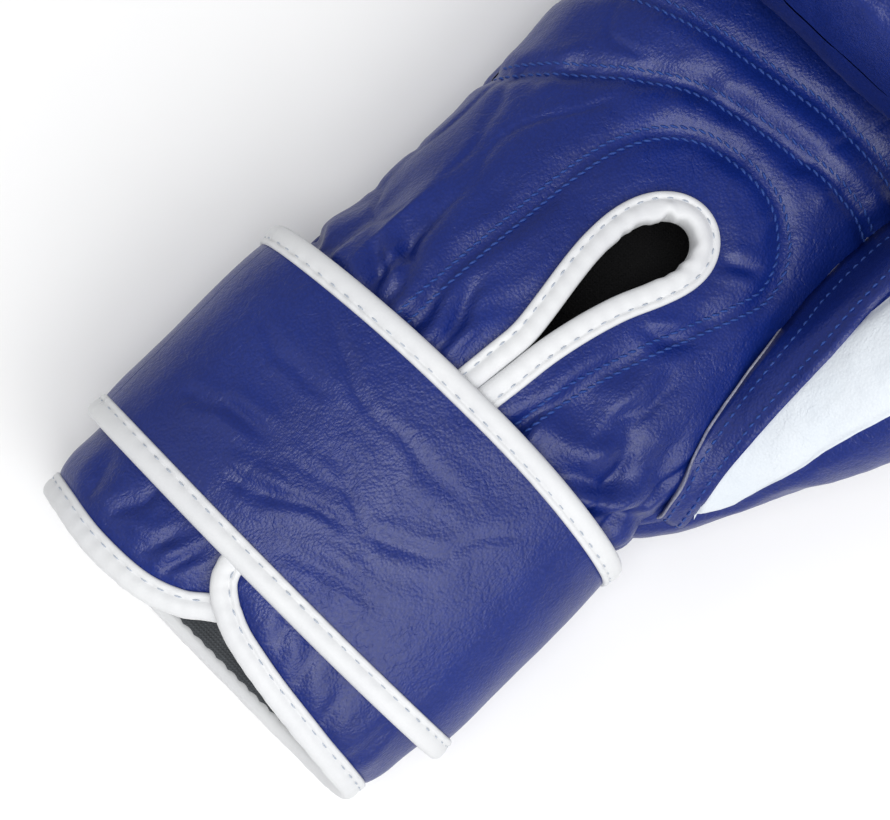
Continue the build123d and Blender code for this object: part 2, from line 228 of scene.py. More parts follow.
def stitches(name, rows, material, pitch, length, width=0.2, height=0.15, lean=0.0):
    """Rows of short threads. Each row is (path, normals); the threads lie just proud of the path."""
    ring, stations = 6, np.linspace(-1, 1, 5)
    proud, dip = 0.16, 0.3      # the middle of a thread stands proud of the path, and its ends dip in
    thread = grid_faces(len(stations), ring, wrap_columns=True)
    thread += [range(ring - 1, -1, -1), range(ring * (len(stations) - 1), ring * len(stations))]
    points, faces = [], []
    for path, normals in rows:
        walked = walked_length(path)

        def at(length_along, source):
            return np.array([np.interp(length_along, walked, source[:, k]) for k in range(3)])

        for middle in np.arange(pitch / 2, walked[-1] - pitch / 2, pitch):
            centre, normal = at(middle, path), unit(at(middle, normals))
            tangent = unit(at(middle + 0.6, path) - at(middle - 0.6, path))
            tangent = unit(tangent + lean * np.cross(tangent, normal))
            side = np.cross(tangent, normal)
            base = len(points)
            for s in stations:
                size = max(0.12, (1 - s * s) ** 0.5)
                hub = centre + tangent * s * length / 2 + normal * (proud - dip * s ** 4)
                for k in range(ring):
                    a = 2 * pi * k / ring
                    points.append(hub + side * cos(a) * width * size + normal * sin(a) * height * size)
            faces += [[base + corner for corner in face] for face in thread]
    return new_mesh(name, points, faces, material)


DROP_FROM = 200.0           # a height above the whole glove


def surface_tree(*pieces):
    """A lookup of several pieces' surfaces at once."""
    vertices, polygons = [], []
    for piece in pieces:
        base = len(vertices)
        vertices += [v.co.copy() for v in piece.data.vertices]
        polygons += [[base + i for i in p.vertices] for p in piece.data.polygons]
    return BVHTree.FromPolygons(vertices, polygons)


def drop_onto(tree, plan):
    """Drops plan points straight down onto a surface; gives points, normals and which of them met it.

    A point that misses takes the height of the glove's widest line.
    """
    down = Vector((0, 0, -1))
    hits = [tree.ray_cast(Vector((x * MM, (y - REST_Y) * MM, DROP_FROM * MM)), down)[:2] for x, y in plan]
    heights, normals = [], []
    for (x, _), (place, normal) in zip(plan, hits):
        if place is None:
            place, normal = Vector((0, 0, WRIST_Z * MM)), Vector((np.sign(x), 0, 0.3)).normalized()
        heights.append(place.z / MM)
        normals.append(tuple(normal if normal.z > 0 else -normal))
    points = np.column_stack([plan, heights])
    met = np.array([place is not None for place, _ in hits])
    return points, smooth_rows(np.array(normals), 4), met


def smooth_rows(values, reach):
    """Running mean down the rows, with the ends held."""
    padded = np.vstack([values[:1]] * reach + [values] + [values[-1:]] * reach)
    return np.mean([padded[k:k + len(values)] for k in range(2 * reach + 1)], axis=0)


def beside(line, offset):
    """A plan line shifted sideways, to the left of its direction."""
    tangent = unit(np.gradient(line[:, :2], axis=0))
    left = np.stack([-tangent[:, 1], tangent[:, 0]], 1)
    return line[:, :2] + left * offset


# ---------------------------------------- material nodes
class Nodes:
    """A short way to write a node tree."""

    def __init__(self, name):
        self.material = bpy.data.materials.new(name)
        self.material.use_nodes = True
        self.tree = self.material.node_tree
        self.shader = self.tree.nodes["Principled BSDF"]
        self.coords = self.add("ShaderNodeTexCoord").outputs["Object"]

    def add(self, kind, **values):
        node = self.tree.nodes.new(kind)
        for key, value in values.items():
            if hasattr(node, key):
                setattr(node, key, value)
            else:
                node.inputs[key.replace("_", " ")].default_value = value
        return node

    def link(self, output, node, socket):
        self.tree.links.new(output, node.inputs[socket])

    def scaled(self, scale):
        mapping = self.add("ShaderNodeMapping")
        mapping.inputs["Scale"].default_value = scale
        self.link(self.coords, mapping, "Vector")
        return mapping.outputs["Vector"]

    def texture(self, kind, size_mm, output, vector=None, **values):
        node = self.add(f"ShaderNodeTex{kind}", Scale=1 / (size_mm * MM), **values)
        self.link(vector or self.coords, node, "Vector")
        return node.outputs[output]

    def noise(self, size_mm, detail=4.0, roughness=0.55, vector=None, distortion=0.0):
        return self.texture("Noise", size_mm, "Fac", vector, Detail=detail, Roughness=roughness,
                            Distortion=distortion)

    def cells(self, size_mm, feature="F1", vector=None):
        return self.texture("Voronoi", size_mm, "Distance", vector, feature=feature)

    def ramp(self, value, *stops):
        node = self.add("ShaderNodeValToRGB")
        elements = node.color_ramp.elements
        while len(elements) < len(stops):
            elements.new(0.5)
        for element, (position, colour) in zip(elements, stops):
            element.position = position
            element.color = (*colour, 1)
        self.link(value, node, "Fac")
        return node.outputs["Color"]

    def grey(self, value, *stops):
        return self.ramp(value, *[(position, (level,) * 3) for position, level in stops])

    def math(self, operation, a, b):
        node = self.add("ShaderNodeMath", operation=operation)
        for socket, value in enumerate((a, b)):
            if isinstance(value, (int, float)):
                node.inputs[socket].default_value = value
            else:
                self.tree.links.new(value, node.inputs[socket])
        return node.outputs["Value"]

    def mix(self, factor, a, b):
        node = self.add("ShaderNodeMix", data_type="RGBA")
        for socket, value in ((node.inputs["Factor"], factor), (node.inputs[6], a), (node.inputs[7], b)):
            if isinstance(value, (int, float)):
                socket.default_value = value
            elif isinstance(value, tuple):
                socket.default_value = (*value, 1)
            else:
                self.tree.links.new(value, socket)
        return node.outputs[2]

    def bump(self, height, distance_mm, strength, normal=None):
        node = self.add("ShaderNodeBump", Strength=strength, Distance=distance_mm * MM)
        self.link(height, node, "Height")
        if normal is not None:
            self.link(normal, node, "Normal")
        return node.outputs["Normal"]

    def finish(self, colour, roughness, normal, **constants):
        self.link(colour, self.shader, "Base Color")
        self.link(roughness, self.shader, "Roughness")
        self.link(normal, self.shader, "Normal")
        for key, value in constants.items():
            self.shader.inputs[key.replace("_", " ")].default_value = value
        return self.material


def leather(name, deep, lifted, roughness=(0.32, 0.45), grain_depth=0.07, crease_strength=0.5,
            fine_strength=0.5, speckle=0.3):
    """Dyed leather: fine pebbled grain, soft wrinkles that come and go, and a slightly uneven dye."""
    n = Nodes(name)
    dye = n.noise(30.0, detail=4.0, roughness=0.6)
    worn = n.noise(18.0, detail=2.0)
    wrinkle = n.noise(7.0, detail=5.0, roughness=0.6, vector=n.scaled((1.0, 0.6, 1.0)), distortion=0.25)
    fine = n.noise(0.9, detail=4.0, roughness=0.6)
    grain = n.cells(0.65, vector=n.scaled((1.0, 0.8, 1.0)))
    # Thin crease lines follow the middle level of the wrinkles, and show only on worn patches.
    lines = n.grey(n.math("ABSOLUTE", n.math("SUBTRACT", wrinkle, 0.5), 0.0), (0.0, 0.0), (0.035, 1.0))
    lines = n.math("MAXIMUM", lines, n.grey(worn, (0.42, 1.0), (0.6, 0.0)))
    colour = n.ramp(dye, (0.3, deep), (0.72, lifted))
    pores = n.math("MULTIPLY", n.grey(grain, (0.3, 0.0), (0.8, 1.0)), speckle)
    colour = n.mix(pores, colour, tuple(c * 0.5 for c in deep))
    gloss = n.grey(n.math("ADD", n.math("MULTIPLY", fine, 0.5), n.math("MULTIPLY", worn, 0.5)),
                   (0.35, roughness[0]), (0.68, roughness[1]))
    warped = n.mix(0.0022, n.coords, n.texture("Noise", 3.0, "Color", Detail=2.0))
    cracks = n.grey(n.cells(1.9, feature="DISTANCE_TO_EDGE", vector=warped), (0.0, 0.0), (0.18, 1.0))
    cracks = n.math("MAXIMUM", cracks, n.grey(worn, (0.4, 1.0), (0.58, 0.0)))
    pebbles = n.grey(grain, (0.1, 1.0), (0.8, 0.0))
    normal = None
    for height, depth_mm, strength in ((wrinkle, 0.85, crease_strength), (lines, 0.10, crease_strength),
                                       (cracks, 0.045, crease_strength), (fine, 0.06, fine_strength),
                                       (pebbles, grain_depth, 0.7)):
        normal = n.bump(height, depth_mm, strength, normal)
    return n.finish(colour, gloss, normal, Specular_IOR_Level=0.42)


blue = leather("royal_blue_leather", (0.003, 0.015, 0.150), (0.005, 0.021, 0.190))
blue_edge = leather("raw_leather_edge", (0.08, 0.09, 0.19), (0.40, 0.40, 0.46), grain_depth=0.1)
white = leather("white_leather", (0.66, 0.71, 0.77), (0.74, 0.78, 0.82), (0.45, 0.6), crease_strength=0.4,
                speckle=0.04)
tape = leather("white_binding_leather", (0.68, 0.69, 0.71), (0.75, 0.76, 0.77), (0.45, 0.58),
               grain_depth=0.008, crease_strength=0.06, fine_strength=0.08, speckle=0.03)


def thread_material(name, dark, light):
    """Twisted thread: fine slanting bands with some fuzz."""
    n = Nodes(name)
    twist = n.noise(0.5, detail=2.0, vector=n.scaled((3.0, 1.0, 1.0)))
    normal = n.bump(twist, 0.15, 0.8)
    colour = n.ramp(twist, (0.35, dark), (0.65, light))
    return n.finish(colour, n.grey(twist, (0.3, 0.55), (0.7, 0.75)), normal)


blue_thread = thread_material("blue_thread", (0.007, 0.030, 0.19), (0.018, 0.070, 0.33))
# The white thread is coloured grey-blue: painted shade of the dents and stitch holes it lies in.
white_stitch_thread_painted_shade = thread_material("white_stitch_thread_grey_painted_shade", (0.30, 0.35, 0.44), (0.56, 0.60, 0.66))


WAVE_SCALE = 0.32           # the wave texture's scale that gives one band for each unit of length


def cloth_material(name, dark, light, weave_mm=0.9):
    """Plain woven lining cloth."""
    n = Nodes(name)
    warp, weft = [n.texture("Wave", weave_mm / WAVE_SCALE, "Fac", wave_type="BANDS", bands_direction=axis)
                  for axis in "XY"]
    weave = n.math("MULTIPLY", warp, weft)
    wear = n.noise(12.0)
    colour = n.mix(0.3, n.ramp(wear, (0.3, dark), (0.7, light)), n.ramp(weave, (0.0, dark), (1.0, light)))
    roughness = n.grey(wear, (0.3, 0.8), (0.7, 0.95))
    return n.finish(colour, roughness, n.bump(weave, 0.25, 0.7), Sheen_Weight=0.2)


lining = cloth_material("grey_lining_cloth", (0.045, 0.05, 0.058), (0.10, 0.11, 0.12))
hand_cloth = cloth_material("black_lining_cloth", (0.004, 0.004, 0.005), (0.012, 0.012, 0.014))
hook_tape = cloth_material("black_hook_tape", (0.006, 0.006, 0.007), (0.03, 0.03, 0.032), weave_mm=1.6)
loop_tape = cloth_material("black_loop_tape", (0.006, 0.006, 0.007), (0.02, 0.02, 0.022), weave_mm=0.7)


# ---------------------------------------- sections of the soft shell
# x, hem length, z, half width, half height, and the angle that the tube has turned to in side view.
SHELL = np.array([
    (-1.2, 0.0, 36.0, 51.2, 30.5, 0.0),
    (-0.8, 10.0, 36.5, 53.4, 31.6, 0.0),
    (0.0, 23.0, 36.8, 55.2, 32.2, 0.0),
    (0.0, 57.0, 36.8, 55.2, 32.2, 0.0),
    (1.2, 86.0, 36.8, 54.0, 31.8, 0.0),
    (3.6, 103.0, 36.6, 54.4, 32.4, 0.0),
    (4.6, 125.0, 34.6, 56.0, 33.4, 0.0),
    (4.0, 150.0, 32.4, 55.0, 32.6, 0.0),
    (1.8, 185.0, 30.0, 54.5, 30.4, 0.0),
    (0.0, 214.0, 28.9, 57.0, 29.6, 0.0),
    (0.0, 236.0, 29.6, 60.0, 29.4, 0.0),
    (0.0, 259.3, 38.7, 62.0, 29.6, 45.0),
    (0.0, 269.0, 62.0, 62.5, 29.8, 90.0),
    (0.0, 259.3, 85.3, 61.0, 29.4, 135.0),
    (0.0, 236.0, 95.0, 57.5, 28.2, 180.0),
    (0.0, 220.0, 94.0, 53.0, 26.4, 180.0),
    (0.0, 211.0, 93.0, 47.0, 22.0, 180.0),
])
CAP_DEPTH = 5.0             # how far the fingertips' end is rounded past the last section
CAP_LEAST = 0.02            # the share of its height that a cap's last section keeps


def spline_rows(table, wanted):
    """Natural-looking interpolation of table rows at fractional row numbers."""
    i = np.clip(np.floor(wanted).astype(int), 0, len(table) - 2)
    u = (wanted - i)[:, None]
    length = walked_length(table[:, :3])
    slope = np.gradient(table, length, axis=0)
    span = (length[i + 1] - length[i])[:, None]
    a, b, m, q = table[i], table[i + 1], slope[i] * span, slope[i + 1] * span
    return ((2 * u ** 3 - 3 * u ** 2 + 1) * a + (u ** 3 - 2 * u ** 2 + u) * m
            + (3 * u ** 2 - 2 * u ** 3) * b + (u ** 3 - u ** 2) * q)


def rows_by_length(table, step_mm, start=0, stop=None):
    """Fractional row numbers that walk the table's centre line in even steps."""
    stop = len(table) - 1 if stop is None else stop
    fine = np.linspace(start, stop, 600)
    walked = walked_length(spline_rows(table, fine)[:, :3])
    return np.interp(np.arange(0, walked[-1], step_mm), walked, fine)


def superellipse(angle_deg):
    """Width and height shares of the oval's point at an angle."""
    c, s = np.cos(np.radians(angle_deg)), np.sin(np.radians(angle_deg))
    return np.sign(c) * np.abs(c) ** (2 / OVAL_POWER), np.sign(s) * np.abs(s) ** (2 / OVAL_POWER)


def tube_points(sections, angles):
    """Grid of points: one row for each section, one column for each angle."""
    x, y = superellipse(angles)
    turn = np.radians(sections[:, 5])
    up = np.stack([np.zeros_like(turn), -np.sin(turn), np.cos(turn)], 1)
    grid = sections[:, None, :3].copy() + np.zeros((1, len(angles), 1))
    grid[:, :, 0] += sections[:, 3, None] * x[None]
    grid += up[:, None, :] * (sections[:, 4, None] * y[None])[:, :, None]
    return grid


BEND_ROW = 10               # the SHELL row where the hand starts to curl
STRAIGHT = spline_rows(SHELL, np.linspace(0, BEND_ROW, 400))


def shell_at(angle_deg, hem):
    """Point and normal of the straight part of the shell, for paired angles and hem lengths."""
    def place(a, h):
        rows = np.stack([np.interp(h, STRAIGHT[:, 1], STRAIGHT[:, k]) for k in range(5)], 1)
        x, y = superellipse(a)
        return np.stack([rows[:, 0] + rows[:, 3] * x, h, rows[:, 2] + rows[:, 4] * y], 1)

    around = place(angle_deg + 0.5, hem) - place(angle_deg - 0.5, hem)
    forward = place(angle_deg, hem + 2.0) - place(angle_deg, np.maximum(hem - 2.0, 0.0))
    return place(angle_deg, hem), unit(np.cross(forward, around))


def angle_of(x, hem):
    """The section angle whose palm-side point has that x."""
    centre = np.interp(hem, STRAIGHT[:, 1], STRAIGHT[:, 0])
    half = np.interp(hem, STRAIGHT[:, 1], STRAIGHT[:, 3])
    ratio = np.clip((x - centre) / half, -1, 1)
    return np.degrees(np.arccos(np.sign(ratio) * np.abs(ratio) ** (OVAL_POWER / 2)))


# ---------------------------------------- plan lines on the palm, (x, hem)
STITCH_GAP = 3.0            # between the two rows of a double seam

VENT_LOOP = [(-20.0, 88), (-19.6, 103), (-18.2, 127), (-16.6, 147), (-13.6, 161.5), (-8.3, 171.5),
             (0, 178), (11.3, 180.6), (22.5, 179.8), (31, 175), (35.6, 169), (37.6, 161), (35.6, 153),
             (31.5, 142), (26, 127), (20.6, 109), (17.5, 88)]
KNUCKLE_ARC = [(-58, 148), (-54, 153), (-45, 161), (-31, 172), (-22.6, 178.5), (-11.5, 185.4), (0, 189),
               (15, 192), (28, 194), (40, 194), (50, 191), (58, 186)]
FOLD_ARC = [(-58, 184), (-45, 191), (-34, 195), (-19.5, 198.7), (-3.5, 201.6), (12.6, 204.6), (24.6, 206),
            (40, 206), (58, 203)]
vent_loop = smooth_curve(VENT_LOOP, 320)
knuckle_arc = smooth_curve(KNUCKLE_ARC, 180)
fold_arc = smooth_curve(FOLD_ARC, 160)

# The vent's edge: up the left leg from under the strap, round the end and down the right leg.
VENT_EDGE = [(3.5, 80), (4.5, 92), (5.6, 103), (6.3, 111), (5.3, 120), (3.8, 130), (2.9, 139), (3.4, 148),
             (6.0, 155), (10.5, 159), (14.8, 158.8), (17.9, 155.2), (18.2, 149.5), (15.8, 142),
             (12.4, 134), (9.4, 124), (7.0, 112.5), (5.9, 103), (4.5, 92), (3.4, 80)]
vent_edge = smooth_curve(VENT_EDGE, 300)
opening = vent_edge[vent_edge[:, 1] > 84]


def inside(points_xy, outline):
    """Which points lie inside a closed plan outline."""
    x, y = points_xy[:, 0], points_xy[:, 1]
    result = np.zeros(len(x), bool)
    for (x0, y0), (x1, y1) in zip(outline, np.roll(outline, -1, axis=0)):
        crosses = (y0 > y) != (y1 > y)
        with np.errstate(divide="ignore", invalid="ignore"):
            edge_x = x0 + (y - y0) * (x1 - x0) / (y1 - y0)
        result ^= crosses & (x < edge_x)
    return result


def near_opening(grid, margin):
    """Which points of a grid lie over the vent's opening, or less than margin beside it."""
    plan = grid.reshape(-1, 3)[:, :2]
    return (inside(plan, opening) | (distance_to(plan, opening) < margin)).reshape(grid.shape[:2])


# ---------------------------------------- mitt
# Folds that the gathering at the wrist leaves in the palm: two ends in (x, hem), depth and width.
PALM_FOLDS = [((-26, 90), (-38, 103), 2.0, 2.6), ((-24, 92), (-34, 113), 1.7, 2.4),
              ((-9, 92), (-15, 117), 1.5, 2.4), ((-47, 90), (-54, 108), 1.6, 3.0),
              ((30, 92), (47, 107), 1.8, 3.0), ((42, 90), (57, 103), 2.2, 3.0),
              ((48, 108), (49, 124), 1.2, 2.6), ((33, 112), (38, 139), 0.9, 3.2),
              ((23, 130), (35, 141), 0.8, 2.2), ((24, 158), (34, 163), 0.7, 2.2),
              ((-16, 90), (-19, 104), 1.1, 2.0), ((18, 90), (24, 108), 1.2, 2.4)]


def wandering(points):
    """Plan positions pushed about by a couple of millimetres, so folds drawn on them are not straight."""
    push = [lattice_noise(points, 11, 81), lattice_noise(points, 11, 82)]
    return points[:, :2] + 3.0 * np.stack(push, 1)


def line_fold(xy, start, end, depth, width):
    """A valley with a soft ridge on each side, fading out towards both ends."""
    start, end = np.array(start, float), np.array(end, float)
    along = end - start
    share = (xy - start) @ along / (along @ along)
    across = np.abs((xy - start) @ np.array([-along[1], along[0]])) / np.linalg.norm(along)
    fade = ramp(share, -0.15, 0.2) * ramp(share, 1.15, 0.6)
    return fade * depth * (0.7 * bump(across - 1.9 * width, width) - bump(across, 0.75 * width))


def folds_relief(points, folds, shown):
    """The relief of a list of folds, at the points where they are shown."""
    bent = wandering(points)
    return sum(np.where(shown, line_fold(bent, *fold), 0.0) for fold in folds)


WRIST_DIP, FIST_PAD = 87.0, 197.0   # hem lengths of the dip at the strap and of the pad under the fold
VALLEY_WIDTH = 3.2                  # of the valleys that the blue stitches pull in
FAR = 99.0


def leather_relief(points):
    """Soft lumps, the gathers at the wrist, and thin creases that come and go."""
    relief = 0.9 * lattice_noise(points, 34, 1) + 0.4 * lattice_noise(points, 13, 2)
    relief += 0.16 * lattice_noise(points * (1.0, 0.4, 1.0), 4.2, 3)
    gathered = ramp(points[:, 1], 140, 98) * ramp(points[:, 1], 84, 94)
    puckers = 1 - 2.4 * np.abs(lattice_noise(points * (1.0, 0.22, 1.0), 8.5, 5))
    relief += gathered * (1.5 * puckers - 1.6 * bump(lattice_noise(points * (1.0, 0.26, 1.0), 12, 8), 0.14))
    creased = ramp(lattice_noise(points, 30, 9), -0.1, 0.3)
    relief -= 0.55 * creased * bump(lattice_noise(points * (1.0, 0.45, 1.0), 11, 10), 0.07)
    return relief - 0.7 * bump(points[:, 1] - WRIST_DIP, 7)


def palm_relief(points):
    """The leather's relief with the palm's own: seam valleys, pads, drawn folds and the vent's rim."""
    relief = leather_relief(points)
    on_palm = (points[:, 1] < 240) & (points[:, 2] < 80)
    loop_gap, arc_gap, fold_gap, vent_gap = [np.where(on_palm, distance_to(points[:, :2], line), FAR)
                                             for line in (vent_loop, knuckle_arc, fold_arc, opening)]
    relief -= 1.5 * bump(loop_gap, VALLEY_WIDTH) + 2.2 * bump(arc_gap, VALLEY_WIDTH)
    relief -= 1.5 * bump(fold_gap, VALLEY_WIDTH)
    relief += 1.2 * np.where(on_palm, bump(points[:, 1] - FIST_PAD, 7), 0)
    relief += folds_relief(points, PALM_FOLDS, on_palm)
    across_seam = lattice_noise(points * (1.0, 0.5, 1.0), 5.0, 6)
    relief += (0.9 * bump(arc_gap, 9) + 0.7 * bump(loop_gap, 7)) * across_seam
    beside_vent = ramp(vent_gap, 5.5, 12)
    return relief * beside_vent - 0.8 * (1 - beside_vent)


def mitt_grid(angles, rows, cap_shares=()):
    """The shell's plain surface over some angles and rows, closed over the fingertips by the caps."""
    sections = list(spline_rows(SHELL, rows))
    for share in cap_shares:
        row = SHELL[-1].copy()
        row[1] -= CAP_DEPTH * sin(share * pi / 2)
        row[3] -= (1 - cos(share * pi / 2)) * row[4]
        row[4] *= max(cos(share * pi / 2), CAP_LEAST)
        sections.append(row)
    return tube_points(np.array(sections), angles)


# Fractional SHELL rows of the wrist, the fold under the fingers and the fingertips.
WRIST_ROW, FOLD_ROW, TIP_ROW = 4.0, 9.6, len(SHELL) - 1.0
CAP_SHARES = tuple(np.linspace(0.12, 1.0, 8))
MITT_HALF_WIDTH = 60.0


def raised(grid, relief):
    """A grid moved along its normals by the relief of its points."""
    return grid + grid_normals(grid) * relief.reshape(grid.shape[:2] + (1,))


def mitt_panel(relief, angles, rows, cap_shares=()):
    """The surface of one of the mitt's panels, with its relief and with its side seams drawn in."""
    grid = mitt_grid(angles, rows, cap_shares)
    from_seam = np.minimum(np.abs(angles - angles[0]), np.abs(angles - angles[-1]))
    seam_gap = np.tile(np.radians(from_seam) * MITT_HALF_WIDTH, len(grid))
    return raised(grid, relief(grid.reshape(-1, 3)) - 1.6 * bump(seam_gap, 2.6))


palm_angles = np.linspace(SEAM_ANGLE, 180 - SEAM_ANGLE, 170)
back_angles = np.linspace(180 - SEAM_ANGLE, 360 + SEAM_ANGLE, 190)
palm_rows = rows_by_length(SHELL, 1.0, WRIST_ROW, FOLD_ROW)
finger_rows = rows_by_length(SHELL, 1.3, FOLD_ROW, TIP_ROW)
back_rows = rows_by_length(SHELL, 1.6, WRIST_ROW, TIP_ROW)

palm_grid = mitt_panel(palm_relief, palm_angles, palm_rows)
cell_centres = 0.25 * (palm_grid[:-1, :-1] + palm_grid[1:, :-1] + palm_grid[:-1, 1:] + palm_grid[1:, 1:])
palm = grid_piece("palm_leather_panel", palm_grid, blue, flip=True, keep=~near_opening(cell_centres, 1.6))

finger_grid = mitt_panel(leather_relief, palm_angles, finger_rows, CAP_SHARES)
fingers = grid_piece("finger_leather_panel", finger_grid, blue, flip=True)

back_grid = mitt_panel(leather_relief, back_angles, back_rows, CAP_SHARES)
back = grid_piece("back_and_knuckle_leather", back_grid, blue, flip=True)
for piece in (palm, fingers, back):
    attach(piece, "glove")
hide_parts("palm_leather", "palm_foam")
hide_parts("finger_leather", "finger_foam")
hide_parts("back_leather", "knuckle_leather", "back_foam", "knuckle_foam", "finger_back_foam",
            "grip_bar")

# ---------------------------------------- seam welts
WELT = [(1.0, 0.0), (0.7, 0.75), (0.0, 1.05), (-0.7, 0.75), (-1.0, 0.0), (-0.6, -0.9), (0.6, -0.9)]


def welt(name, path):
    """A thin strip of leather that closes the seam between two panels."""
    path = smooth_rows(path, 3)
    tangent = unit(np.gradient(path, axis=0))
    outward = unit(np.cross(tangent, unit(path - path.mean(0))))
    piece = sweep(name, path, outward, unit(np.cross(outward, tangent)), WELT, blue)
    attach(piece, "glove")


welt("fold_welt", 0.5 * (palm_grid[-1] + finger_grid[0]))
for side, palm_column in (("thumb_side", 0), ("finger_side", -1)):
    welt(f"{side}_welt",
         np.vstack([palm_grid[::2, palm_column], finger_grid[1:len(finger_rows), palm_column]]))

# ---------------------------------------- the long edge of the shell
# One binding runs down the slit's right side, round the hem of both flaps and up its left side. Its
# route is in three stretches: (x, hem) on the palm side, and (angle, hem) round the sides and back.
RIGHT_EDGE = [(2.6, 86), (-0.4, 75), (-5.0, 50), (-9.0, 31), (-9.6, 24), (-7.6, 18.6), (-2.5, 14.2),
              (3.0, 11.6), (9.5, 9.8), (21, 7.6), (35, 5.6), (44, 4.6)]
BACK_HEM = [(8, 3.2), (-20, 1.0), (-55, 0.2), (-90, 0.2), (-130, 1.2), (-160, 2.6), (-188, 3.6)]
LEFT_EDGE = [(-47, 3.2), (-34, 1.8), (-19, 2.6), (-8, 6.2), (-0.5, 11.5), (4.0, 17), (6.3, 24), (7, 40),
             (6.6, 60), (6.0, 74), (5.4, 86)]
FLAP_LIFT = 2.9             # the right flap lies on the left one
FLAP_TUCK = 1.3             # the left flap's hidden end goes down under it
FLAP_WALL = 3.4             # both flaps thin out towards the slit
FLAP_CORNER = (-9.0, 20.0)  # x and hem length of the right flap's corner
RIGHT_END, LEFT_END = 100.0, -282.0         # degrees, about where the two flaps end
RIGHT_FLAP, LEFT_FLAP = -60.0, -200.0       # degrees: the right one lies above, the left one below
MM_PER_DEGREE = 0.9         # scale of the angle while the route is smoothed


def hem_route():
    """Angle and hem length along the whole edge, starting at the top of the slit's right side."""
    right = [(angle_of(x, y), y) for x, y in RIGHT_EDGE]
    left = [(angle_of(x, y) - 360, y) for x, y in LEFT_EDGE]
    control = [(a * MM_PER_DEGREE, y) for a, y in right + BACK_HEM + left]
    route = smooth_curve(control, 900)
    return route[:, 0] / MM_PER_DEGREE, route[:, 1]


def flap_lift(angle, hem):
    """Right flap up, hidden end of the left flap down, and both pressed flat by the strap."""
    pressed = 1 - 0.75 * ramp(hem, 22, 34)
    from_right = (angle_of(*FLAP_CORNER) - angle) * MM_PER_DEGREE
    right = FLAP_LIFT * (1 - ramp(from_right, 3, 40)) * (angle > RIGHT_FLAP)
    from_left = (angle - LEFT_END) * MM_PER_DEGREE
    left = -FLAP_TUCK * (1 - ramp(from_left, 8, 30)) * (angle < LEFT_FLAP)
    return pressed * (right + left)


def flap_wall(angle):
    """Thickness of the cuff's wall, which thins out towards the slit."""
    near_right = (1 - ramp((RIGHT_END - angle) * MM_PER_DEGREE, 12, 60)) * (angle > RIGHT_FLAP)
    near_left = (1 - ramp((angle - LEFT_END) * MM_PER_DEGREE, 12, 60)) * (angle < LEFT_FLAP)
    return WALL - (WALL - FLAP_WALL) * np.maximum(near_right, near_left)


CUFF_FOLDS = [((-25, 10), (-21, 23), 0.8, 2.0), ((-18, 12), (-12, 25), 0.9, 1.7),
              ((-33, 10), (-35, 26), 0.6, 2.2), ((-44, 10), (-47, 24), 0.6, 2.4),
              ((13, 17), (9, 29), 0.6, 1.8), ((23, 14), (19, 27), 0.55, 2.0),
              ((34, 12), (31, 25), 0.5, 2.0), ((45, 10), (44, 24), 0.5, 2.2)]


def cuff_relief(points):
    """Soft dents of the cuff's leather, with short folds that run in from the hem of both flaps."""
    dents = 0.5 * lattice_noise(points, 16, 11) + 0.22 * lattice_noise(points * (1, 0.5, 1), 6, 12)
    return dents + folds_relief(points, CUFF_FOLDS, points[:, 2] > WRIST_Z)


def outward_from(edge, normals):
    """Directions over the leather, square to its edge and away from the opening."""
    return unit(np.cross(normals, unit(np.gradient(edge, axis=0))))


route_angle, route_hem = hem_route()
edge_base, edge_normals = shell_at(route_angle, route_hem)
edge_base = edge_base + edge_normals * flap_lift(route_angle, route_hem)[:, None]
edge_outward = outward_from(edge_base, edge_normals)

# The vent's own stretch lies on the palm panel, with both legs going in under the strap.
vent_angle = angle_of(vent_edge[:, 0], vent_edge[:, 1])
vent_base, vent_normals = shell_at(vent_angle, vent_edge[:, 1])
vent_base = smooth_rows(vent_base, 5)
vent_outward = outward_from(vent_base, vent_normals)

# Outward and up of the folded tape, from its outer rim over the edge to its inner rim.
TAPE_OUTSIDE = [(6.2, -0.6), (6.45, 0.2), (6.2, 0.8), (5.5, 1.05), (4.95, 1.0), (4.6, 0.7), (4.2, 0.95),
                (3.5, 1.35), (2.4, 1.55), (1.2, 1.4), (0.35, 0.95), (0.0, 0.1)]
TAPE_INSIDE = [(-0.15, -1.5), (-0.1, -4.0), (0.2, -6.4), (0.8, -8.1), (1.9, -8.7), (2.9, -8.5),
               (3.3, -8.0), (2.2, -7.4)]
STITCH_AT = 4.6             # from the tape's rolled edge to its row of stitches
DIMPLE_PITCH, SCALLOP_PITCH, STRAP_DIMPLE_PITCH = 4.6, 4.3, 5.0
TAPE_CLEARANCE = 0.05       # above the table


def tape_along(name, base, outward, normals, wall, pucker):
    """The folded binding: its outer face, the rolled edge and its inner face on the lining."""
    outer = len(TAPE_OUTSIDE)
    out, up = profile_rows(TAPE_OUTSIDE + TAPE_INSIDE, len(base))
    up[:, outer:] *= (wall / WALL)[:, None]
    walked = walked_length(base)[:, None]
    dimple = 0.16 * np.cos(walked * 2 * pi / DIMPLE_PITCH)
    scallop = 0.45 * np.abs(np.sin(walked * pi / SCALLOP_PITCH))
    fold = (0.75 * pucker * lattice_noise(walked * (1, 0, 0), 2.0, 21))[:, None]
    # The profile's points 4 to 6 are its stitch line, 8 to 10 its crown; the inner rim ends it.
    up[:, 4:7] += 0.8 * dimple
    up[:, 7:10] += 0.35 * dimple
    up[:, 8:11] += 0.5 * fold
    out[:, 8:outer + 2] += fold
    out[:, -3:-1] += scallop
    piece = tube_piece(name, profile_grid(base, outward, normals, out, up), tape, capped=False,
                       above=TAPE_CLEARANCE)
    return piece


